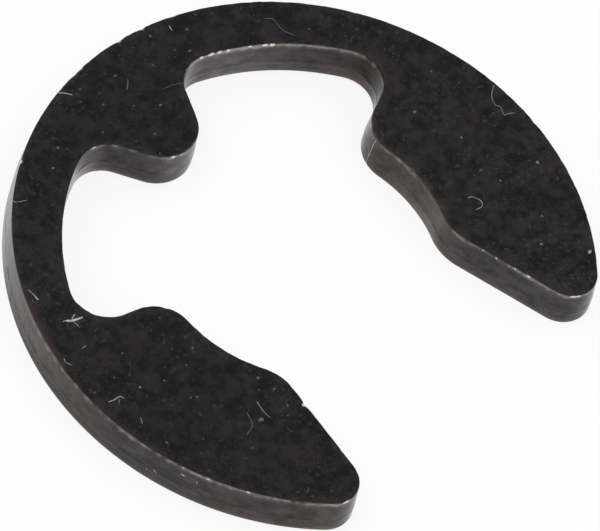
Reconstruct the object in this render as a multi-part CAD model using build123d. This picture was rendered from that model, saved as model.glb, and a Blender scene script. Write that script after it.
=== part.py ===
from build123d import *
from math import asin, atan2, cos, degrees, radians, sin, sqrt
import os

# An e-clip: a radial retaining ring, blanked in one piece from spring-steel strip.
# Millimetres. The origin is on the axis of the shaft groove, in the plane of the lower face.
# +Z runs along the shaft, the mouth opens toward -Y, and the clip is symmetric about X = 0.

# Circles. The outside and the windows' outer wall are shifted toward the mouth, so that the
# beam, which is bent most when the clip is pushed on, is deepest behind the centre lug.
GROOVE_DIAMETER = 7.0
OUTSIDE_DIAMETER = 13.8
OUTSIDE_SHIFT = 0.12
WINDOW_DIAMETER = 11.87
WINDOW_SHIFT = 0.53

# Mouth: the gap between its corners on the groove circle, and how far each side flares.
MOUTH_WIDTH = 5.8
MOUTH_FLARE_ANGLE = 12.4

# Arms and centre lug. SHOULDER_ANGLE is where an arm's grip ends, counted from the mouth's
# centre line. LUG_FLANK_ANGLE is the lean of each flank of the lug from its centre line.
SHOULDER_ANGLE = 109.2
LUG_FLANK_ANGLE = 28.3
LUG_TIP_RADIUS = 0.96

# Corner radii of the outline, and the least straight wall that a root leaves beside it.
ARM_TIP_RADIUS = 0.72
MOUTH_CORNER_RADIUS = 1.3
SHOULDER_RADIUS = 0.97
ROOT_RADIUS = 0.81
LEAST_STRAIGHT = 0.1

# Section of the blanked strip. The die rolls the lower edge over and burnishes the wall above
# it, then the metal fractures inward up to the upper face, whose edge the tumbling breaks.
THICKNESS = 1.08
BURNISH_HEIGHT = 0.4
FRACTURE_INSET = 0.045
ROLL_RADIUS = 0.05
EDGE_BREAK = 0.02

GROOVE_RADIUS = GROOVE_DIAMETER / 2
REACH = 2 * OUTSIDE_DIAMETER  # long enough for any cut to pass right out of the blank


def polar(radius, angle):
    """A point about the groove axis, its angle counted from the mouth's centre line."""
    return Vector(radius * sin(radians(angle)), -radius * cos(radians(angle)))


def meets_circle(start, direction, radius, shift):
    """Where a ray from inside a circle, shifted toward the mouth, comes out of it."""
    from_centre = start + Vector(0, shift)
    along = from_centre.dot(direction)
    return start + direction * (sqrt(along**2 + radius**2 - from_centre.dot(from_centre)) - along)


def mirrored(points):
    """Points on the +X side, followed by their images on the -X side, as one closed polygon."""
    return [(p.X, p.Y) for p in points] + [(-p.X, p.Y) for p in reversed(points)]


def round_pair(outline, corner, radius):
    """Round the corner of the outline nearest to a point, and its mirror image."""
    images = [corner, Vector(-corner.X, corner.Y)]
    pair = [outline.vertices().sort_by_distance(image)[0] for image in images]
    return fillet(pair, radius)


def root_radius(wall_end, wall_normal):
    """The root's radius, limited to the fillet that ends at a point on its straight wall."""
    window_radius = WINDOW_DIAMETER / 2
    from_centre = wall_end + Vector(0, WINDOW_SHIFT)
    gap = window_radius**2 - from_centre.dot(from_centre)
    return min(ROOT_RADIUS, gap / 2 / (window_radius + wall_normal.dot(from_centre)))


# Each cut on the +X side is bounded by a ray, with a start, a direction and, on the two
# straight walls of a window, a normal that points into it.
mouth_corner = polar(GROOVE_RADIUS, degrees(asin(MOUTH_WIDTH / 2 / GROOVE_RADIUS)))
mouth_side = polar(1, MOUTH_FLARE_ANGLE)
arm_tip = meets_circle(mouth_corner, mouth_side, OUTSIDE_DIAMETER / 2, OUTSIDE_SHIFT)

shoulder = polar(GROOVE_RADIUS, SHOULDER_ANGLE)
shoulder_side = polar(1, SHOULDER_ANGLE)
shoulder_normal = polar(1, SHOULDER_ANGLE + 90)
shoulder_root = meets_circle(shoulder, shoulder_side, WINDOW_DIAMETER / 2, WINDOW_SHIFT)
shoulder_round_end = shoulder_side * sqrt(GROOVE_RADIUS**2 + 2 * GROOVE_RADIUS * SHOULDER_RADIUS)

lug_tip_centre = Vector(0, GROOVE_RADIUS + LUG_TIP_RADIUS)
lug_flank = polar(1, 180 - LUG_FLANK_ANGLE)
lug_normal = polar(1, 90 - LUG_FLANK_ANGLE)
lug_tangent = lug_tip_centre + lug_normal * LUG_TIP_RADIUS
lug_root = meets_circle(lug_tangent, lug_flank, WINDOW_DIAMETER / 2, WINDOW_SHIFT)


def clip_outline():
    """The burnished outline: the blank at its full size."""
    disc = Pos(0, -OUTSIDE_SHIFT) * Circle(OUTSIDE_DIAMETER / 2)
    mouth = Polygon(*mirrored([mouth_corner, mouth_corner + mouth_side * REACH]), align=None)
    shoulder_end = shoulder_side * REACH
    behind = Polygon(
        *mirrored([Vector(0, 0), shoulder_end, Vector(shoulder_end.X, REACH)])[:-1], align=None
    )
    lug = Pos(lug_tip_centre) * Circle(LUG_TIP_RADIUS)
    lug += Polygon(*mirrored([lug_tangent, lug_tangent + lug_flank * REACH]), align=None)
    windows = (Pos(0, -WINDOW_SHIFT) * Circle(WINDOW_DIAMETER / 2) & behind) - lug
    outline = disc - Circle(GROOVE_RADIUS) - windows - mouth

    shoulder_wall = shoulder_round_end + shoulder_side * LEAST_STRAIGHT
    lug_wall = lug_tangent + lug_flank * LEAST_STRAIGHT
    outline = round_pair(outline, arm_tip, ARM_TIP_RADIUS)
    outline = round_pair(outline, mouth_corner, MOUTH_CORNER_RADIUS)
    outline = round_pair(outline, shoulder, SHOULDER_RADIUS)
    outline = round_pair(outline, shoulder_root, root_radius(shoulder_wall, shoulder_normal))
    return round_pair(outline, lug_root, root_radius(lug_wall, lug_normal))


def blanked(outline):
    """The outline as the press leaves it: rolled edge, burnished band and fractured wall."""
    fracture_height = THICKNESS - BURNISH_HEIGHT
    burnished = extrude(outline, BURNISH_HEIGHT)
    fractured = extrude(Pos(0, 0, BURNISH_HEIGHT) * outline, fracture_height)
    fractured = draft(
        fractured.faces().filter_by(Axis.Z, reverse=True),
        Plane.XY.offset(BURNISH_HEIGHT),
        degrees(atan2(FRACTURE_INSET, fracture_height)),
    )
    clip = burnished + fractured
    clip = fillet(clip.faces().sort_by(Axis.Z)[0].edges(), ROLL_RADIUS)
    return fillet(clip.faces().sort_by(Axis.Z)[-1].edges(), EDGE_BREAK)


os.makedirs("parts", exist_ok=True)
e_clip = blanked(clip_outline())
export_step(e_clip, "parts/e_clip.step")
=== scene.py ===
import random
from math import asin, atan2, ceil, cos, degrees, exp, pi, radians, sin, sqrt

import bpy
from mathutils import Matrix, Vector
from mathutils.geometry import delaunay_2d_cdt
from mathutils.noise import noise


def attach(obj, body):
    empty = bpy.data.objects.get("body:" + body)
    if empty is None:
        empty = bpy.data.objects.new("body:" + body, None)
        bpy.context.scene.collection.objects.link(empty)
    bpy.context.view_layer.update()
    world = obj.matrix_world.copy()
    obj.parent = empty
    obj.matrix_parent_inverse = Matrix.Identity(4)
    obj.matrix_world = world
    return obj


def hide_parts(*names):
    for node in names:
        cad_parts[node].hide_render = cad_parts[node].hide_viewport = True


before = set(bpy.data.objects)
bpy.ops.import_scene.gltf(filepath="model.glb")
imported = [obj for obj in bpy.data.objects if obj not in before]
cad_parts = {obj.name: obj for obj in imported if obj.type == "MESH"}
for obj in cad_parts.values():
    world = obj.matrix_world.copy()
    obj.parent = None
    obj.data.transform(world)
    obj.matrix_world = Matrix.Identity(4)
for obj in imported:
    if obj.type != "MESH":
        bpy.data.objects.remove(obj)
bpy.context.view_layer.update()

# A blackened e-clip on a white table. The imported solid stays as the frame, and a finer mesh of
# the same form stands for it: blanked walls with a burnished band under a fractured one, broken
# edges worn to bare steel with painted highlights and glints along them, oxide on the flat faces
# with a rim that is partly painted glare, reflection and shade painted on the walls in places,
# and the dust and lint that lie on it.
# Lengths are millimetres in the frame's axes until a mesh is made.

MM = 0.001

# The clip's own sizes, as in its solid.
GROOVE_RADIUS = 3.5
OUTSIDE_RADIUS, OUTSIDE_SHIFT = 6.9, 0.12
WINDOW_RADIUS, WINDOW_SHIFT = 5.935, 0.53
MOUTH_WIDTH, MOUTH_FLARE_ANGLE = 5.8, 12.4
SHOULDER_ANGLE, LUG_FLANK_ANGLE = 109.2, 28.3
LUG_TIP_RADIUS = 0.96
ARM_TIP_RADIUS = 0.72
MOUTH_CORNER_RADIUS = 1.3
SHOULDER_RADIUS = 0.97
ROOT_RADIUS = 0.81
THICKNESS = 1.08
BURNISH_HEIGHT = 0.4
FRACTURE_INSET = 0.045
ROLL_RADIUS = 0.05
EDGE_BREAK = 0.02

# Mesh.
STEP = 0.036  # between the outline's points
RING_INSETS = (0.015, 0.04, 0.09, 0.18, 0.32, 0.5)  # rings on a flat face, inside its edge
GRID = 0.4  # between the points inside a flat face
MERGE_DISTANCE = 1e-6  # points of a flat face that are nearer than this are one
MARKS = ("band", "side", "wear_and_highlight", "inward", "oxide_and_light", "glint", "brown")

# Rows of the section: angles round the rolled lower edge, shares of the burnished wall's height,
# and shares of the fractured wall's height up to the lip, which starts LIP_HEIGHT under the
# broken edge. A lip row has how far it is under the broken edge, a row of the broken edge has an
# angle round it, and both have their share of the wear, which also carries a painted highlight,
# and of the glints, which are painted highlights too.
ROLL_ANGLES = (0, 25, 50, 75)
BURNISH_SHARES = (0, 0.2, 0.4, 0.7, 0.92, 1)
FRACTURE_SHARES = (0.04, 0.25, 0.5, 0.75, 1)
LIP_HEIGHT = 0.17
LIP_ROWS = (0.08, 0.25, 0), (0.055, 1, 0.4), (0.028, 1, 1), (0, 0.75, 1)
BREAK_ROWS = (30, 0.7, 0.9), (60, 0.5, 0.8), (90, 0.25, 0.5)

# Unevenness of the section.
BURNISH_HOLLOW = 0.003  # at mid-height of the burnished wall
LEDGE = 0.002  # where the fracture starts, inside the burnished wall
TEAR = 0.005  # of the fractured wall, most at the ledge
MEAN_BREAK, LEAST_BREAK = 0.75, 0.005  # a share of EDGE_BREAK, and a length
# Wear of the upper lip, which also sets the highlight painted along it.
MEAN_LIP_WEAR_AND_HIGHLIGHT, LEAST_LIP_WEAR_AND_HIGHLIGHT = 0.42, 0.06

# Camera, in degrees and millimetres. An azimuth of 0 looks into the mouth.
TARGET = Vector((-0.429, -0.316, THICKNESS))
AZIMUTH, ELEVATION, ROLL = -64.552, 55.194, 19.403
DISTANCE = 285.36
LENS = 746.5


def polar(radius, angle):
    """About the groove axis, with the angle from the mouth's centre line."""
    return Vector((radius * sin(radians(angle)), -radius * cos(radians(angle))))


def corner(wall, circle, radius, side):
    """The centre of a rounded corner between a wall and a circle, and where it meets each."""
    start, direction, normal = wall
    centre, reach = circle
    base = start + normal * radius
    from_centre = base - centre
    along = from_centre.dot(direction)
    gap = (reach + side * radius) ** 2 - from_centre.dot(from_centre)
    middle = base + direction * (sqrt(along**2 + gap) - along)
    return middle, middle - normal * radius, centre + (middle - centre).normalized() * reach


def arc(centre, start, end, turn, out):
    """Points and outward normals from start up to end. turn: 1 is anticlockwise."""
    a, b = start - centre, end - centre
    sweep = (atan2(b.y, b.x) - atan2(a.y, a.x)) * turn % (2 * pi) * turn
    count = ceil(abs(sweep) * a.length / STEP)
    for i in range(count):
        spoke = Matrix.Rotation(sweep * i / count, 2) @ a
        yield centre + spoke, spoke.normalized() * out


def line(start, end, normal):
    """Points and their outward normal from start up to end."""
    count = ceil((end - start).length / STEP)
    for i in range(count):
        yield start.lerp(end, i / count), normal


def half_outline():
    """The +X side, from the middle of the outside round the arm and window to the lug's tip."""
    axis = Vector((0, 0))
    outside = Vector((0, -OUTSIDE_SHIFT)), OUTSIDE_RADIUS
    window = Vector((0, -WINDOW_SHIFT)), WINDOW_RADIUS
    groove = axis, GROOVE_RADIUS
    mouth_angle = degrees(asin(MOUTH_WIDTH / 2 / GROOVE_RADIUS))
    mouth_metal = polar(1, MOUTH_FLARE_ANGLE + 90)
    mouth = polar(GROOVE_RADIUS, mouth_angle), polar(1, MOUTH_FLARE_ANGLE), mouth_metal
    side_start, side = polar(GROOVE_RADIUS, SHOULDER_ANGLE), polar(1, SHOULDER_ANGLE)
    side_void = polar(1, SHOULDER_ANGLE + 90)
    flank_void = polar(1, 90 - LUG_FLANK_ANGLE)
    lug_centre = Vector((0, GROOVE_RADIUS + LUG_TIP_RADIUS))
    flank_start = lug_centre + flank_void * LUG_TIP_RADIUS
    flank = flank_start, polar(1, 180 - LUG_FLANK_ANGLE), flank_void

    tip, tip_wall, tip_circle = corner(mouth, outside, ARM_TIP_RADIUS, -1)
    lip, lip_wall, lip_circle = corner(mouth, groove, MOUTH_CORNER_RADIUS, 1)
    knee, knee_wall, knee_circle = corner(
        (side_start, side, -side_void), groove, SHOULDER_RADIUS, 1
    )
    root, root_wall, root_circle = corner((side_start, side, side_void), window, ROOT_RADIUS, -1)
    foot, foot_wall, foot_circle = corner(flank, window, ROOT_RADIUS, -1)

    yield from arc(outside[0], outside[0] + Vector((0, OUTSIDE_RADIUS)), tip_circle, -1, 1)
    yield from arc(tip, tip_circle, tip_wall, -1, 1)
    yield from line(tip_wall, lip_wall, -mouth_metal)
    yield from arc(lip, lip_wall, lip_circle, -1, 1)
    yield from arc(axis, lip_circle, knee_circle, 1, -1)
    yield from arc(knee, knee_circle, knee_wall, -1, 1)
    yield from line(knee_wall, root_wall, side_void)
    yield from arc(root, root_wall, root_circle, 1, -1)
    yield from arc(window[0], root_circle, foot_circle, 1, -1)
    yield from arc(foot, foot_circle, foot_wall, 1, -1)
    yield from line(foot_wall, flank_start, flank_void)
    yield from arc(lug_centre, flank_start, lug_centre - Vector((0, LUG_TIP_RADIUS)), -1, 1)
    yield lug_centre - Vector((0, LUG_TIP_RADIUS)), Vector((0, -1))


def outline():
    """The whole burnished outline, anticlockwise, as points and outward normals."""
    half = list(half_outline())
    other = [(Vector((-p.x, p.y)), Vector((-n.x, n.y))) for p, n in half[-2:0:-1]]
    return (half + other)[::-1]


def rough(point, scale, seed):
    """Smooth noise about 0 whose bumps are about `scale` wide."""
    return noise(Vector((point.x / scale, point.y / scale, seed)))


# Nicks and worn stretches of the upper edge: place on the outline, half-width and depth.
NICKS = (
    ((1.65, 6.5), 0.08, 0.045),
    ((1.0, 6.65), 0.12, 0.06),
    ((-0.25, 6.7), 0.07, 0.035),
    ((-0.5, 6.7), 0.16, 0.055),
    ((-1.0, 6.55), 0.12, 0.02),
    ((-3.2, 5.9), 0.09, 0.045),
    ((-3.2, -2.9), 0.07, 0.08),
    ((3.5, -0.35), 0.07, 0.035),
    ((3.75, 1.1), 0.35, 0.03),
    ((4.75, 2.2), 0.5, 0.025),
    ((3.3, -1.1), 0.4, 0.02),
)

# Small nicks at random all round the upper edge, with the range of their half-widths and depths.
SMALL_NICKS = 90
SMALL_NICK_WIDTHS = (0.05, 0.1)
SMALL_NICK_DEPTHS = (0.004, 0.02)

# Places on the outline where the upper lip is rubbed and a highlight is painted along it, where
# it glints with a painted highlight, where a wall is painted paler as reflection or darker as
# shade above and below the band's line, and where the flat face's rim is browner, and places on
# the face
# where its oxide is thinner or thicker: each with its half-width and strength.
RUBBED_AND_HIGHLIGHTED_LIP = (
    ((3.2, 4.5), 1.7, 0.95),
    ((2.8, 4.7), 0.5, 0.4),
    ((3.7, -5.15), 0.3, 0.3),
    ((3.4, -3.9), 1.3, 0.1),
    ((3.3, -1.0), 0.9, -0.75),
    ((3.45, -0.35), 0.14, 0.6),
    ((3.35, -0.9), 0.12, 0.7),
    ((3.2, -1.35), 0.1, 0.8),
    ((3.5, 0.7), 0.5, -0.15),
    ((5.05, 2.2), 0.4, -0.3),
    ((0.0, 3.6), 0.6, -0.1),
    ((-0.5, 3.6), 0.25, 0.5),
    ((-0.7, 3.9), 0.6, -0.2),
    ((-1.6, 5.0), 0.3, 0.4),
    ((-1.95, 5.05), 0.3, -0.4),
    ((-5.2, 4.4), 1.1, -0.6),
    ((-6.6, 1.5), 2.3, -0.15),
    ((-6.5, -2.4), 0.5, 0.15),
    ((-4.75, -5.1), 0.5, 0.65),
)
GLINTS = (
    ((2.15, 5.05), 0.06, 1.0), ((2.35, 4.95), 0.08, 1.3), ((2.55, 4.85), 0.06, 1.1),
    ((2.75, 4.75), 0.06, 0.8), ((3.25, 4.5), 0.06, 0.8), ((3.5, 4.25), 0.06, 1.3),
    ((3.65, 4.15), 0.06, 1.3), ((-0.45, 3.6), 0.06, 0.8), ((-0.25, 3.55), 0.06, 0.5),
    ((-1.65, 5.05), 0.08, 0.6), ((3.1, -2.9), 0.06, 0.5), ((3.2, -3.25), 0.06, 0.55),
    ((3.3, -3.75), 0.06, 0.55), ((3.4, -4.1), 0.08, 0.65), ((3.75, -5.15), 0.1, 0.7),
    ((3.9, -5.25), 0.08, 0.6), ((3.5, 0.1), 0.06, 0.4), ((3.0, -2.2), 0.06, 0.45),
    ((-6.4, -2.1), 0.06, 0.45), ((-6.35, -2.75), 0.08, 0.6), ((-6.2, -3.15), 0.06, 0.45),
    ((-5.95, -3.6), 0.08, 0.6), ((-5.6, -4.1), 0.06, 0.45), ((-4.4, -5.3), 0.12, 0.8),
    ((1.65, 6.5), 0.08, 0.8), ((1.0, 6.65), 0.08, 0.7), ((-0.25, 6.7), 0.08, 0.55),
    ((-3.2, 5.9), 0.08, 0.8), ((-3.2, -2.9), 0.08, 0.9),
)
# Painted reflection and shade on the walls, above and below the band's line, given as thinner or
# thicker oxide: a plus is a paler wall, a minus a darker one.
PAINTED_WALL_LIGHT_ABOVE = (
    ((2.5, 4.85), 0.9, 0.8),
    ((3.5, 4.3), 0.5, 0.25),
    ((4.85, 2.9), 0.8, -0.2),
    ((5.1, 2.3), 0.3, -0.4),
    ((4.7, 1.7), 0.45, -1.1),
    ((-0.15, 3.5), 0.55, 0.6),
    ((-0.45, 3.6), 0.25, 0.5),
    ((-1.35, 4.8), 0.25, -0.2),
    ((-1.6, 5.0), 0.25, 0.4),
    ((-2.0, 5.05), 0.3, -0.8),
    ((-6.4, 2.4), 1.2, 0.2),
    ((-4.8, 4.9), 0.7, 0.5),
    ((-4.6, -5.25), 0.5, 0.5),
    ((4.0, -5.3), 0.4, 0.2),
)
PAINTED_WALL_LIGHT_BELOW = (
    ((2.8, 4.7), 1.2, 0.7),
    ((4.3, 1.5), 0.3, -0.4),
    ((3.3, -1.1), 0.6, 0.35),
    ((-2.0, 5.0), 0.45, 2.2),
    ((-0.4, 3.6), 0.3, 0.2),
    ((0.1, 3.5), 0.35, -0.6),
    ((3.7, 1.05), 0.5, -0.6),
    ((4.2, -5.3), 0.3, -0.5),
    ((3.6, -5.0), 0.3, 0.2),
    ((-4.2, -5.3), 0.3, -0.5),
    ((-4.7, -5.15), 0.3, 0.4),
    ((-6.4, 2.4), 1.5, -0.7),
    ((-5.5, 4.0), 1.2, -0.8),
    ((-6.8, -0.8), 1.5, -0.1),
)
OXIDE_ON_FACE = (
    ((4.5, -4.0), 1.2, 0.35),
    ((4.9, -0.8), 2.0, 0.15),
    ((-0.2, 5.2), 1.3, -0.22),
    ((5.3, -2.6), 0.35, -0.35),
    ((-4.6, -1.2), 1.8, -0.15),
)
BROWN_RIM = (
    ((3.2, -1.3), 0.7, 1.2),
    ((3.55, -0.3), 0.6, 0.6),
    ((3.75, 1.1), 0.5, 1.0),
    ((4.75, 2.4), 0.6, 1.2),
    ((-3.6, -0.5), 1.5, 0.3),
    ((-5.6, -4.1), 1.5, 0.3),
    ((-6.3, 2.6), 2.0, 0.9),
)

# A small pit in the outer wall: place, height, half-width and depth.
PIT, PIT_HEIGHT, PIT_WIDTH, PIT_DEPTH = Vector((-5.68, 3.8)), 0.26, 0.06, 0.018


def bump_sum(at, places):
    """Smooth bumps that lie about a few places."""
    total = 0
    for spot, width, strength in places:
        gap = (at - Vector(spot)).length / width
        total += strength * exp(-gap * gap)
    return total


def upper_edge(points):
    """Where the fractured wall ends under each point's broken edge."""
    return [p - n * FRACTURE_INSET for p, n in points]


def snapped(places, edge):
    """Places moved onto the nearest point of an edge."""
    for spot, width, strength in places:
        near = Vector(spot)
        yield min(edge, key=lambda at: (at - near).length_squared), width, strength


def edge_breaks(points):
    """The upper edge's radius at each point: tumbled a little unevenly, with nicks."""
    dice = random.Random(11)
    edge = upper_edge(points)
    nicks = list(snapped(NICKS, edge))
    for _ in range(SMALL_NICKS):
        spot = dice.choice(edge)
        nicks.append((spot, dice.uniform(*SMALL_NICK_WIDTHS), dice.uniform(*SMALL_NICK_DEPTHS)))
    radii = []
    for (p, _), at in zip(points, edge):
        share = MEAN_BREAK + 0.6 * rough(p, 0.35, 1.5) + 0.7 * rough(p, 0.11, 2.5)
        radii.append(max(EDGE_BREAK * share, LEAST_BREAK) + bump_sum(at, nicks))
    return radii


def lip_wear_and_highlight(p, n):
    """How far the oxide is rubbed off the upper lip at one point of the outline, and how bright
    the highlight painted there is.
    """
    wear_and_highlight = MEAN_LIP_WEAR_AND_HIGHLIGHT + 0.4 * rough(p, 0.8, 8.5) + 0.7 * rough(p, 0.14, 9.5)
    return max(wear_and_highlight + bump_sum(p - n * FRACTURE_INSET, RUBBED_AND_HIGHLIGHTED_LIP), LEAST_LIP_WEAR_AND_HIGHLIGHT)


def section(p, n, radius):
    """The section at one point of the outline, from the lower face's inner ring over the wall to
    the upper face's. Each row has its inset, its height, its height above the burnished band
    (-1 and 1 on the faces and edges), 1 on a wall down to 0 on a face, its wear with the
    highlight painted along it, and its share of the glints, which are painted highlights."""
    rows = [(ROLL_RADIUS + inset, 0, -1, 0, 0, 0) for inset in reversed(RING_INSETS)]
    for angle in ROLL_ANGLES:
        a = radians(angle)
        rows.append((ROLL_RADIUS * (1 - sin(a)), ROLL_RADIUS * (1 - cos(a)), -1, sin(a), 0, 0))

    band = BURNISH_HEIGHT + 0.035 * rough(p, 1.1, 3.5) + 0.02 * rough(p, 0.25, 4.5)
    pit = PIT_DEPTH * exp(-(((p - PIT).length / PIT_WIDTH) ** 2))
    for t in BURNISH_SHARES:
        height = ROLL_RADIUS + t * (band - ROLL_RADIUS)
        inset = BURNISH_HOLLOW * (1 - t) * t * 4 * (1 + rough(p, 0.35, 5.5))
        inset += pit * exp(-(((height - PIT_HEIGHT) / PIT_WIDTH) ** 2))
        rows.append((inset, height, height - band, 1, 0, 0))

    upper = THICKNESS - radius
    lip = upper - LIP_HEIGHT
    ledge = LEDGE + LEDGE * rough(p, 0.3, 6.5)
    wear_and_highlight = lip_wear_and_highlight(p, n)
    sag = 1 + 0.7 * rough(p, 0.16, 10.5)
    heights = [(band + t * (lip - band), 0, 0) for t in FRACTURE_SHARES]
    heights += [(upper - drop * sag, wear_and_highlight * share, lit) for drop, share, lit in LIP_ROWS]
    for height, worn_and_highlighted, lit in heights:
        t = (height - band) / (upper - band)
        tear = TEAR * rough(p, 0.18, 7.5 + 2 * t) * (1 - t)
        inset = ledge + (FRACTURE_INSET - ledge) * t + tear
        rows.append((inset, height, height - band, 1, worn_and_highlighted, lit))

    for angle, share, lit in BREAK_ROWS:
        a = radians(angle)
        inset = FRACTURE_INSET + radius * (1 - cos(a))
        rows.append((inset, upper + radius * sin(a), 1, cos(a), wear_and_highlight * share, lit))
    face = FRACTURE_INSET + radius
    rows += [(face + inset, THICKNESS, 1, 0, 0, 0) for inset in RING_INSETS]
    return rows


def clip_mesh(points):
    """The clip's surface, whose every point has the marks that the material reads."""
    sections = [section(p, n, radius) for (p, n), radius in zip(points, edge_breaks(points))]
    glints = list(snapped(GLINTS, upper_edge(points)))
    verts, marks, faces = [], [], []
    for (p, n), rows in zip(points, sections):
        wall_light_above, wall_light_below = bump_sum(p, PAINTED_WALL_LIGHT_ABOVE), bump_sum(p, PAINTED_WALL_LIGHT_BELOW)
        glint = bump_sum(p - n * FRACTURE_INSET, glints)
        brown = bump_sum(p, BROWN_RIM)
        for inset, height, above, side, worn_and_highlighted, lit in rows:
            at = p - n * inset
            verts.append((at.x, at.y, height))
            oxide_and_light = wall_light_above if above > 0 else wall_light_below
            if not side:
                oxide_and_light = bump_sum(at, OXIDE_ON_FACE)
            marks.append((above, side, worn_and_highlighted, inset, oxide_and_light, glint * lit, brown))
    count, width = len(points), len(sections[0])
    for i in range(count):
        j = (i + 1) % count
        for k in range(width - 1):
            a, b = i * width + k, j * width + k
            faces.append((a, b, b + 1, a + 1))

    for row, height, above in ((0, 0, -1), (width - 1, THICKNESS, 1)):
        ring = [i * width + row for i in range(count)]
        flat = [Vector(verts[v][:2]) for v in ring]
        placed, _, made, origins, _, _ = delaunay_2d_cdt(
            flat + inner_grid(flat), [], [list(range(count))], 1, MERGE_DISTANCE
        )
        index = []
        for at, origin in zip(placed, origins):
            if origin and origin[0] < count:
                index.append(ring[origin[0]])
                continue
            index.append(len(verts))
            verts.append((at.x, at.y, height))
            oxide_and_light = bump_sum(at, OXIDE_ON_FACE)
            marks.append((above, 0, 0, RING_INSETS[-1] + GRID, oxide_and_light, 0, 0))
        for face in made:
            corners = [index[v] for v in face]
            faces.append(corners if row else corners[::-1])

    mesh = bpy.data.meshes.new("e_clip_surface")
    mesh.from_pydata([[c * MM for c in v] for v in verts], [], faces)
    for name, values in zip(MARKS, zip(*marks)):
        mesh.attributes.new(name, "FLOAT", "POINT").data.foreach_set("value", values)
    mesh.shade_smooth()
    return mesh


def inner_grid(ring):
    """Grid points inside a ring and clear of it."""
    low_x, high_x = min(p.x for p in ring), max(p.x for p in ring)
    low_y, high_y = min(p.y for p in ring), max(p.y for p in ring)
    grid = []
    for i in range(int((high_x - low_x) / GRID) + 1):
        for j in range(int((high_y - low_y) / GRID) + 1):
            at = Vector((low_x + i * GRID, low_y + (j + 0.5 * (i % 2)) * GRID))
            if inside(at, ring) and min((at - p).length for p in ring[::4]) > GRID / 2:
                grid.append(at)
    return grid


def inside(at, ring):
    """Whether a point is inside a ring, by the ring's crossings to its right."""
    odd = False
    for a, b in zip(ring, ring[1:] + ring[:1]):
        if (a.y > at.y) != (b.y > at.y):
            if at.x < a.x + (at.y - a.y) / (b.y - a.y) * (b.x - a.x):
                odd = not odd
    return odd


class Nodes:
    """Short-hand for building a node tree."""

    def __init__(self, tree):
        self.tree = tree
        tree.nodes.clear()

    def add(self, kind, inputs=(), **settings):
        node = self.tree.nodes.new("ShaderNode" + kind)
        for name, value in settings.items():
            setattr(node, name, value)
        for name, value in dict(inputs).items():
            self.set(node.inputs[name], value)
        return node

    def set(self, socket, value):
        if isinstance(value, bpy.types.NodeSocket):
            self.tree.links.new(value, socket)
        else:
            socket.default_value = value

    def math(self, operation, a, b=0.0, clamp=False):
        return self.add("Math", {0: a, 1: b}, operation=operation, use_clamp=clamp).outputs[0]

    def times(self, a, b, clamp=False):
        """The product of two values, kept between 0 and 1 if it is clamped."""
        return self.math("MULTIPLY", a, b, clamp)

    def steps(self, value, low, high, to_low=0.0, to_high=1.0):
        """A smooth step, from to_low where the value is low up to to_high where it is high."""
        inputs = {"Value": value, 1: low, 2: high, 3: to_low, 4: to_high}
        return self.add("MapRange", inputs, interpolation_type="SMOOTHSTEP").outputs[0]

    def mix(self, factor, a, b):
        node = self.add("Mix", data_type="RGBA")
        self.set(node.inputs["Factor"], factor)
        self.set(node.inputs[6], a)
        self.set(node.inputs[7], b)
        return node.outputs[2]

    def noise(self, vector, scale, detail=2.0, roughness=0.5):
        inputs = {"Vector": vector, "Scale": scale, "Detail": detail, "Roughness": roughness}
        return self.add("TexNoise", inputs).outputs["Fac"]

    def scaled(self, vector, scale):
        inputs = {"Vector": vector, "Scale": scale}
        return self.add("Mapping", inputs, vector_type="POINT").outputs["Vector"]

    def place(self):
        """Where a point is in its object, in millimetres."""
        return self.scaled(self.add("TexCoord").outputs["Object"], (1 / MM, 1 / MM, 1 / MM))

    def seen(self):
        """1 for a ray from the camera and for a mirrored or transmitted one, otherwise 0."""
        path = self.add("LightPath").outputs
        seen = self.math("MAXIMUM", path["Is Camera Ray"], path["Is Glossy Ray"])
        return self.math("MAXIMUM", seen, path["Is Transmission Ray"])

    def scratch(self, vector, turn, seed):
        """Faint lines across a flat face, broken up along their length."""
        turned = self.add(
            "Mapping",
            {"Vector": vector, "Location": (seed, seed, 0), "Rotation": (0, 0, radians(turn))},
        ).outputs["Vector"]
        lines = self.noise(self.scaled(turned, (0.9, 22, 1)), 1.0, 2.0, 0.5)
        return self.steps(lines, 0.66, 0.74)

    def attribute(self, name):
        return self.add("Attribute", attribute_name=name).outputs["Fac"]


def new_material(name):
    material = bpy.data.materials.new(name)
    material.use_nodes = True
    return material, Nodes(material.node_tree)


def grey(value, warmth=0.0):
    """A colour of one level, made warmer by a share of it."""
    return (value * (1 + warmth), value, value * (1 - warmth), 1)


# Colours, each as linear red, green, blue and alpha: of the oxide on the faces and on the walls,
# of the lip where its oxide is rubbed thin or off, with painted highlights and glints, and of
# the lint.
DEEP_OXIDE = grey(0.0008, 0.05)
WARM_OXIDE, PLAIN_OXIDE = (0.0145, 0.0115, 0.0125, 1), (0.0125, 0.0122, 0.0123, 1)
FLECK, SCRATCH = grey(0.029, 0.02), grey(0.035, 0.02)
# The face's paler rim is partly thinner oxide and partly painted glare; the browned rim is
# browner oxide.
THIN_RIM_AND_GLARE, BROWNED_RIM = (0.026, 0.0195, 0.0185, 1), (0.036, 0.024, 0.0205, 1)
TORN_WALL = (0.037, 0.035, 0.0355, 1), (0.066, 0.0625, 0.0635, 1)
PRESSED_WALL = (0.034, 0.031, 0.0305, 1), (0.067, 0.06, 0.0585, 1)
BAND_LINE = (0.025, 0.0235, 0.024, 1)
WALL_FOOT = grey(0.11, 0.07)
RUST = (0.062, 0.052, 0.047, 1)
UNTINTED, BROWN_TINT = (1, 1, 1, 1), (1.2, 1.0, 0.85, 1)
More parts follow.
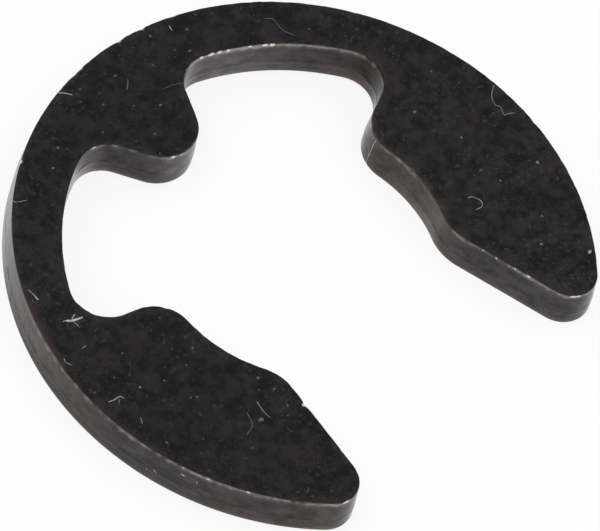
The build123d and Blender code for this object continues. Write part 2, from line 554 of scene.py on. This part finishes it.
# The rubbed lip's colour is partly a painted highlight, and the bare steel's is partly painted
# glints.
RUBBED_OXIDE_AND_HIGHLIGHT, BARE_STEEL_AND_PAINTED_GLINT = grey(0.25, 0.08), grey(0.7, 0.03)
DARK_LINT, PALE_LINT = grey(0.02, 0.02), grey(0.62, 0.05)

FACE_ROUGHNESS, WALL_ROUGHNESS = 0.36, 0.22
# This is also the least share kept where painted shade darkens a wall.
LEAST_COLOUR_SHARE = 0.15  # of its colour that the oxide keeps where it is thickest


def face_colour(n, place, haze, inward, brown):
    """Near-black oxide with a soft mottle and a changing tint, pale flecks that come in
    clusters, fine scratches, and a paler browner rim: partly thinner oxide, partly painted
    glare."""
    tint = n.steps(n.noise(n.scaled(place, (1, 1, 0.4)), 0.8, 3.0, 0.6), 0.4, 0.6)
    pale = n.mix(tint, WARM_OXIDE, PLAIN_OXIDE)
    colour = n.mix(n.steps(haze, 0.33, 0.67), DEEP_OXIDE, pale)
    flecks = n.steps(n.noise(place, 10.0, 1.5), 0.57, 0.77)
    clusters = n.steps(n.noise(place, 1.3, 2.0), 0.38, 0.6, 0.15, 1.0)
    colour = n.mix(n.times(flecks, clusters), colour, FLECK)
    scratches = n.math("MAXIMUM", n.scratch(place, 24, 0.0), n.scratch(place, 133, 7.3))
    colour = n.mix(n.times(scratches, 0.3), colour, SCRATCH)
    # A paler rim next to the face's edge: partly thinner oxide, partly painted glare.
    rim = n.steps(inward, 0.34, 0.06)
    rim = n.times(rim, rim)
    thinned_and_glare = n.times(rim, n.steps(haze, 0.3, 0.7, 0.05, 0.5))
    colour = n.mix(thinned_and_glare, colour, THIN_RIM_AND_GLARE)
    browned = n.times(rim, n.times(brown, n.steps(haze, 0.3, 0.6, 0.3, 1.0)))
    return n.mix(n.times(browned, 0.6, True), colour, BROWNED_RIM)


def wall_colour(n, place, band, brown, tone, blotch):
    """Smooth dark oxide, softly blotched: neutral on the torn wall, browner on the burnished
    band under it, darker on the line between them, paler at the foot, and rusty in places."""
    pressed = n.steps(band, 0.06, -0.16)
    colour = n.mix(pressed, n.mix(tone, *TORN_WALL), n.mix(tone, *PRESSED_WALL))
    shade = n.steps(n.math("ABSOLUTE", band), 0.16, 0.0)
    shade = n.times(shade, n.steps(blotch, 0.62, 0.4, 0.0, 0.3))
    colour = n.mix(shade, colour, BAND_LINE)
    height = n.add("SeparateXYZ", {0: place}).outputs["Z"]
    colour = n.mix(n.times(n.steps(height, 0.26, 0.03), 0.5), colour, WALL_FOOT)
    rust = n.steps(n.noise(n.scaled(place, (1.1, 1.1, 2.2)), 1.0, 3.0, 0.6), 0.5, 0.68)
    colour = n.mix(n.times(rust, 0.5), colour, RUST)
    tint = n.mix(n.times(brown, 0.5, True), UNTINTED, BROWN_TINT)
    return n.add("VectorMath", {0: colour, 1: tint}, operation="MULTIPLY").outputs[0]


def lip_colour(n, place, colour, side, wear_and_highlight, glint, speckle):
    """The oxide's colour where the upper lip is rubbed thin, with a painted highlight along it,
    and worn through to bare steel where it glints, with painted glints."""
    rubbed_and_highlighted = n.times(wear_and_highlight, n.steps(speckle, 0.3, 0.6, 0.7, 1.0), True)
    colour = n.mix(n.times(rubbed_and_highlighted, side), colour, RUBBED_OXIDE_AND_HIGHLIGHT)
    # Painted glints: stray specks on the worn lip and the listed glints turn pale as bare steel.
    fine = n.noise(place, 26.0, 3.0, 0.6)
    stray = n.times(n.steps(fine, 0.62, 0.7), n.steps(wear_and_highlight, 0.3, 0.9, 0.0, 0.5))
    bare_and_glint = n.steps(n.times(glint, n.steps(fine, 0.3, 0.55, 0.5, 1.2)), 0.3, 0.8)
    return n.mix(n.math("MAXIMUM", stray, bare_and_glint), colour, BARE_STEEL_AND_PAINTED_GLINT)


def steel_material():
    material, n = new_material("black_oxide_steel")
    place = n.place()
    band, side, wear_and_highlight, inward, oxide_and_light, glint, brown = (n.attribute(name) for name in MARKS)
    haze = n.noise(place, 3.2, 4.0, 0.6)
    blotch = n.noise(n.scaled(place, (2.4, 2.4, 4.0)), 1.0, 4.0, 0.55)
    speckle = n.noise(place, 12.0, 4.0, 0.7)
    tone = n.math("ADD", n.times(blotch, 0.7), n.times(speckle, 0.3))
    tone = n.steps(tone, 0.36, 0.64)

    face = face_colour(n, place, haze, inward, brown)
    wall = wall_colour(n, place, band, brown, tone, blotch)
    # The colour is scaled by thinner or thicker oxide on the faces and by painted reflection and
    # shade on the walls.
    share = n.math("MAXIMUM", n.math("ADD", oxide_and_light, 1.0), LEAST_COLOUR_SHARE)
    colour = n.mix(side, face, wall)
    colour = n.add("VectorMath", {0: colour, "Scale": share}, operation="SCALE").outputs[0]
    colour = lip_colour(n, place, colour, side, wear_and_highlight, glint, speckle)

    roughness = n.mix(side, grey(FACE_ROUGHNESS), grey(WALL_ROUGHNESS))
    roughness = n.math("ADD", roughness, n.steps(speckle, 0.3, 0.7, 0.04, -0.04))

    # Relief in millimetres: grain and haze on the faces, blotches on the walls.
    grain = n.noise(place, 45.0, 3.0, 0.6)
    face_relief = n.math("ADD", n.times(grain, 0.0015), n.times(haze, 0.005))
    face_relief = n.times(face_relief, n.math("SUBTRACT", 1.0, side))
    relief = n.math("ADD", face_relief, n.times(n.times(tone, side), 0.002))
    bump = n.add("Bump", {"Height": relief, "Distance": MM, "Strength": 0.5})

    # The walls shine as metal, except where painted shade darkens them most, and the faces
    # don't.
    metallic = n.times(side, n.steps(oxide_and_light, -1.1, -0.3, 0.15, 1.0))
    shader = n.add(
        "BsdfPrincipled",
        {
            "Base Color": colour,
            "Roughness": roughness,
            "Metallic": metallic,
            "Specular IOR Level": 0.14,
            "Normal": bump.outputs[0],
        },
    )
    n.add("OutputMaterial", {"Surface": shader.outputs[0]})
    return material


def lint_material():
    material, n = new_material("lint")
    patchy = n.steps(n.noise(n.place(), 6.0, 2.0), 0.3, 0.7, 0.6, 1.1)
    tone = n.times(n.attribute("tone"), patchy, True)
    colour = n.mix(tone, DARK_LINT, PALE_LINT)
    shader = n.add(
        "BsdfPrincipled",
        {"Base Color": colour, "Roughness": 0.6, "Specular IOR Level": 0.2},
    )
    n.add("OutputMaterial", {"Surface": shader.outputs[0]})
    return material


# Lint fibres on the upper face: the points each passes through, its radius and its paleness.
FIBRES = (
    (((4.05, 4.8), (4.2, 4.65), (4.15, 4.3), (4.25, 4.0)), 0.012, 0.12),
    (((-1.2, 6.65), (-1.05, 6.5), (-0.95, 6.35)), 0.011, 0.8),
    (((-4.15, 5.4), (-4.15, 5.25), (-3.9, 5.1)), 0.008, 0.4),
    (((0.8, 5.05), (1.0, 5.0), (1.3, 4.85)), 0.01, 0.12),
    (((6.8, -0.05), (6.6, -0.15), (6.45, -0.3), (6.4, -0.45), (6.45, -0.55), (6.35, -0.75),
      (6.45, -0.8), (6.6, -0.9)), 0.01, 0.32),
    (((3.95, -1.7), (4.05, -1.75), (4.1, -1.85), (4.12, -1.98), (4.03, -2.08),
      (3.85, -2.05)), 0.012, 0.4),
    (((-5.7, 3.45), (-5.7, 3.3), (-5.72, 3.1)), 0.011, 0.64),
    (((-5.72, 3.22), (-5.73, 3.1)), 0.018, 0.64),
    (((-5.85, 3.2), (-5.85, 3.1)), 0.01, 0.24),
    (((-5.67, 2.3), (-5.55, 2.2), (-5.3, 2.1)), 0.028, 0.8),
    (((-5.55, 2.2), (-5.55, 1.97)), 0.012, 0.32),
    (((-5.52, 2.24), (-5.37, 2.28)), 0.016, 0.52),
    (((-5.74, 2.33), (-5.67, 2.31)), 0.018, 0.4),
    (((-5.95, 1.55), (-5.8, 1.53)), 0.013, 0.32),
    (((-6.45, 1.65), (-6.5, 1.55), (-6.45, 1.4)), 0.01, 0.44),
    (((-6.55, 0.17), (-6.4, 0.12), (-6.25, 0.1), (-6.2, 0.0)), 0.011, 0.52),
    (((-6.3, 0.08), (-6.4, -0.03)), 0.008, 0.32),
    (((-6.3, -0.6), (-6.4, -0.75)), 0.016, 0.32),
    (((-4.35, -2.15), (-4.5, -2.45), (-4.8, -2.55)), 0.01, 0.16),
    (((-3.95, -2.1), (-4.03, -2.35), (-4.05, -2.62)), 0.01, 0.4),
    (((2.2, 6.15), (2.15, 6.0)), 0.013, 0.52),
    (((0.36, 5.8), (0.25, 5.7), (0.1, 5.6)), 0.016, 0.12),
    (((-4.78, -4.44), (-4.86, -4.5), (-4.95, -4.5)), 0.011, 0.12),
)

# Lint on the walls, also by points, each in the plane and with its height.
WALL_LINT = (
    (((3.55, 0.8, 1.05), (3.53, 0.83, 0.7), (3.5, 0.84, 0.35), (3.5, 0.85, 0.04)), 0.007, 1.0),
    (((-6.55, -2.15, 0.84), (-6.53, -2.25, 0.8)), 0.011, 0.95),
    (((-6.44, -2.52, 0.86), (-6.43, -2.56, 0.72)), 0.008, 0.65),
    (((-6.78, -1.38, 0.37), (-6.78, -1.42, 0.34)), 0.009, 0.8),
    (((-6.76, -1.55, 0.5), (-6.73, -1.65, 0.4)), 0.007, 0.95),
    (((-5.02, -4.84, 0.12), (-5.0, -4.87, 0.06)), 0.011, 1.0),
)

# Larger grains of dust: x, y, radius and paleness.
GRAINS = (
    (2.45, 5.8, 0.045, 0.12), (2.05, 5.35, 0.04, 0.12), (1.1, 5.65, 0.07, 0.06),
    (1.65, 6.25, 0.04, 0.12), (1.8, 5.6, 0.035, 0.06), (0.2, 6.05, 0.04, 0.12),
    (-0.7, 6.35, 0.035, 0.18), (-0.95, 6.1, 0.035, 0.09), (-0.1, 5.2, 0.055, 0.03),
    (0.4, 4.8, 0.04, 0.12), (-0.3, 4.35, 0.04, 0.12), (1.6, 5.05, 0.04, 0.21),
    (-2.3, 5.6, 0.04, 0.18), (-2.8, 5.3, 0.045, 0.18), (4.8, 0.7, 0.045, 0.18),
    (5.95, 1.2, 0.04, 0.15), (5.1, -0.5, 0.04, 0.21), (4.75, -1.4, 0.04, 0.12),
    (4.9, -1.9, 0.035, 0.21), (5.95, -2.15, 0.045, 0.36), (4.9, -3.2, 0.04, 0.24),
    (4.3, -3.7, 0.04, 0.24), (5.0, -4.6, 0.045, 0.6), (4.65, 3.9, 0.035, 0.06),
    (-6.6, 0.55, 0.04, 0.09), (-5.7, -0.05, 0.045, 0.3), (-5.15, -0.3, 0.04, 0.12),
    (-4.9, -1.1, 0.045, 0.15), (-6.35, -1.45, 0.04, 0.18), (-4.0, -0.15, 0.035, 0.15),
    (-3.45, -1.7, 0.04, 0.21), (-3.4, -2.15, 0.04, 0.12), (-4.25, -2.5, 0.055, 0.22),
    (-3.5, -2.65, 0.04, 0.15),
)

# Finer grains at random on the upper face, with the range of their places, radii and paleness.
# None is in the rim, next to the face's edge.
FINE_GRAINS = 95
FINE_GRAINS_X, FINE_GRAINS_Y = (-6.8, 6.8), (-5.3, 6.7)
FINE_GRAIN_RADII = (0.015, 0.036)
FINE_GRAIN_TONES = (0.02, 0.1)
DUST_FREE_RIM = 0.12

# Shares of a piece of lint's radius: how far a fibre's axis is above the face or off the wall,
# how thick its end is and how much thicker each next point is, and how far a grain stands above
# the face and is sunk in it.
FIBRE_LIFT, WALL_LINT_LIFT = 0.2, 0.8
FIBRE_END, FIBRE_TAPER = 0.45, 0.3
GRAIN_TOP, GRAIN_ROOT = 0.45, 0.2

FIBRE_STEP = 0.035  # between the points of a fibre
TUBE_SIDES = 6
GRAIN_CORNERS = 6
STEEP = 0.9  # the upward part of a direction from which a fibre counts as upright


def smooth_path(points):
    """A curve through points, as closely spaced points."""
    ends = [points[0] * 2 - points[1]] + points + [points[-1] * 2 - points[-2]]
    path = []
    for a, b, c, d in zip(ends, ends[1:], ends[2:], ends[3:]):
        count = max(2, ceil((c - b).length / FIBRE_STEP))
        for i in range(count):
            t = i / count
            bend = (a * 2 - b * 5 + c * 4 - d) * t**2 + (b * 3 - a - c * 3 + d) * t**3
            path.append((b * 2 + (c - a) * t + bend) / 2)
    return path + [points[-1]]


def add_tube(verts, faces, path, radius):
    """A tube along a path, tapered at its ends."""
    first = len(verts)
    for i, at in enumerate(path):
        before, after = path[max(i - 1, 0)], path[min(i + 1, len(path) - 1)]
        way = (after - before).normalized()
        across = way.orthogonal() if abs(way.z) > STEEP else way.cross(Vector((0, 0, 1)))
        across.normalize()
        lift = across.cross(way)
        from_end = min(i, len(path) - 1 - i)
        reach = radius * min(1, FIBRE_END + FIBRE_TAPER * from_end)
        for k in range(TUBE_SIDES):
            a = 2 * pi * k / TUBE_SIDES
            verts.append(at + (across * cos(a) + lift * sin(a)) * reach)
    for i in range(len(path) - 1):
        ring = first + i * TUBE_SIDES
        for k in range(TUBE_SIDES):
            a, b = ring + k, ring + (k + 1) % TUBE_SIDES
            faces.append((a, b, b + TUBE_SIDES, a + TUBE_SIDES))
    faces.append([first + k for k in range(TUBE_SIDES)][::-1])
    faces.append([len(verts) - TUBE_SIDES + k for k in range(TUBE_SIDES)])


def add_grain(verts, faces, at, radius, dice):
    """A crumb with its lower part in the face it lies on."""
    first = len(verts)
    stretch = dice.uniform(0.7, 1.5)
    heading = dice.uniform(0, pi)
    for k in range(GRAIN_CORNERS):
        a = heading + 2 * pi * k / GRAIN_CORNERS
        reach = radius * dice.uniform(0.75, 1.15)
        verts.append(at + Vector((cos(a) * reach * stretch, sin(a) * reach, 0)))
    top, root = len(verts), len(verts) + 1
    verts.append(at + Vector((0, 0, radius * GRAIN_TOP)))
    verts.append(at - Vector((0, 0, radius * GRAIN_ROOT)))
    for k in range(GRAIN_CORNERS):
        a, b = first + k, first + (k + 1) % GRAIN_CORNERS
        faces.append((a, b, top))
        faces.append((b, a, root))


def on_wall(points, spot, gap):
    """A spot beside a wall, moved to stand off the wall's surface by a gap."""
    near = Vector(spot[:2])
    p, n = min(points, key=lambda pair: (pair[0] - near).length_squared)
    inset = FRACTURE_INSET * max(0, spot[2] - BURNISH_HEIGHT) / (THICKNESS - BURNISH_HEIGHT)
    at = near + n * ((p - near).dot(n) + gap - inset)
    return Vector((at.x, at.y, spot[2]))


def lint_mesh(points):
    """Fibres on the upper face and the walls, and dust on the upper face, each with its tone."""
    dice = random.Random(5)
    verts, faces, tones = [], [], []
    for through, radius, tone in FIBRES:
        lie = [Vector((*point, THICKNESS + radius * FIBRE_LIFT)) for point in through]
        add_tube(verts, faces, smooth_path(lie), radius)
        tones += [tone] * (len(verts) - len(tones))
    for through, radius, tone in WALL_LINT:
        lie = [on_wall(points, point, radius * WALL_LINT_LIFT) for point in through]
        add_tube(verts, faces, smooth_path(lie), radius)
        tones += [tone] * (len(verts) - len(tones))
    for x, y, radius, tone in GRAINS:
        add_grain(verts, faces, Vector((x, y, THICKNESS)), radius, dice)
        tones += [tone] * (len(verts) - len(tones))
    ring = [p - n * DUST_FREE_RIM for p, n in points]
    placed = 0
    while placed < FINE_GRAINS:
        spot = Vector((dice.uniform(*FINE_GRAINS_X), dice.uniform(*FINE_GRAINS_Y)))
        if inside(spot, ring):
            radius = dice.uniform(*FINE_GRAIN_RADII)
            add_grain(verts, faces, Vector((*spot, THICKNESS)), radius, dice)
            tones += [dice.uniform(*FINE_GRAIN_TONES)] * (len(verts) - len(tones))
            placed += 1
    mesh = bpy.data.meshes.new("dust_and_lint")
    mesh.from_pydata([v * MM for v in verts], [], faces)
    mesh.attributes.new("tone", "FLOAT", "POINT").data.foreach_set("value", tones)
    mesh.shade_smooth()
    return mesh


def new_object(name, data):
    thing = bpy.data.objects.new(name, data)
    bpy.context.scene.collection.objects.link(thing)
    return thing


def new_piece(mesh, material):
    piece = new_object(mesh.name, mesh)
    mesh.materials.append(material)
    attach(piece, "root")
    return piece


# The table, the white room and its lamp, in metres, watts and shares of white.
TABLE_HALF, TABLE_DROP = 3.0, 0.000004
TABLE_GLOW = 0.85  # the share of the table that glows white where it is seen
ROOM_LIGHT = 0.95
LAMP_SIZE = 0.22, 0.16
LAMP_POWER = 0.12
LAMP_PLACE = Vector((-0.12, 0.16, 0.28))


def table():
    """A wide white table under the clip. It shows white to the camera and in reflections, and
    keeps a soft shadow."""
    mesh = bpy.data.meshes.new("table")
    corners = [(-1, -1), (1, -1), (1, 1), (-1, 1)]
    verts = [(x * TABLE_HALF, y * TABLE_HALF, -TABLE_DROP) for x, y in corners]
    mesh.from_pydata(verts, [], [(0, 1, 2, 3)])
    material, n = new_material("white_table")
    paper = n.add("BsdfDiffuse", {"Color": grey(0.95)}).outputs[0]
    glow = n.add("Emission", {"Color": grey(1.0), "Strength": 1.0}).outputs[0]
    both = n.add("MixShader", {0: n.times(n.seen(), TABLE_GLOW), 1: paper, 2: glow})
    n.add("OutputMaterial", {"Surface": both.outputs[0]})
    mesh.materials.append(material)
    new_object("table", mesh)


def surroundings():
    """A white room: plain level for lighting, white where it is seen or mirrored."""
    world = bpy.data.worlds.new("white_room")
    bpy.context.scene.world = world
    world.use_nodes = True
    n = Nodes(world.node_tree)
    strength = n.steps(n.seen(), 0.0, 1.0, ROOM_LIGHT, 1.0)
    background = n.add("Background", {"Color": grey(1.0), "Strength": strength})
    n.add("OutputWorld", {"Surface": background.outputs[0]})

    lamp = bpy.data.lights.new("softbox", "AREA")
    lamp.shape = "RECTANGLE"
    lamp.size, lamp.size_y = LAMP_SIZE
    lamp.energy = LAMP_POWER
    box = new_object("softbox", lamp)
    box.location = LAMP_PLACE
    box.rotation_mode = "QUATERNION"
    box.rotation_quaternion = LAMP_PLACE.to_track_quat("Z", "Y")


def camera():
    """Looks at the target from the azimuth and elevation, turned by the roll."""
    a, e, roll = radians(AZIMUTH), radians(ELEVATION), radians(ROLL)
    back = Vector((sin(a) * cos(e), -cos(a) * cos(e), sin(e)))
    level = Vector((cos(a), sin(a), 0))
    over = back.cross(level)
    right = level * cos(roll) + over * sin(roll)
    up = over * cos(roll) - level * sin(roll)
    data = bpy.data.cameras.new("camera")
    data.lens = LENS
    data.clip_start, data.clip_end = 0.01, 100
    view = new_object("camera", data)
    turn = Matrix((right, up, back)).transposed()
    view.matrix_world = Matrix.Translation((TARGET + back * DISTANCE) * MM) @ turn.to_4x4()
    bpy.context.scene.camera = view


wall_points = outline()
clip = new_piece(clip_mesh(wall_points), steel_material())
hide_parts("e_clip")
new_piece(lint_mesh(wall_points), lint_material())
table()
surroundings()
camera()
bpy.context.scene.view_settings.view_transform = "Standard"
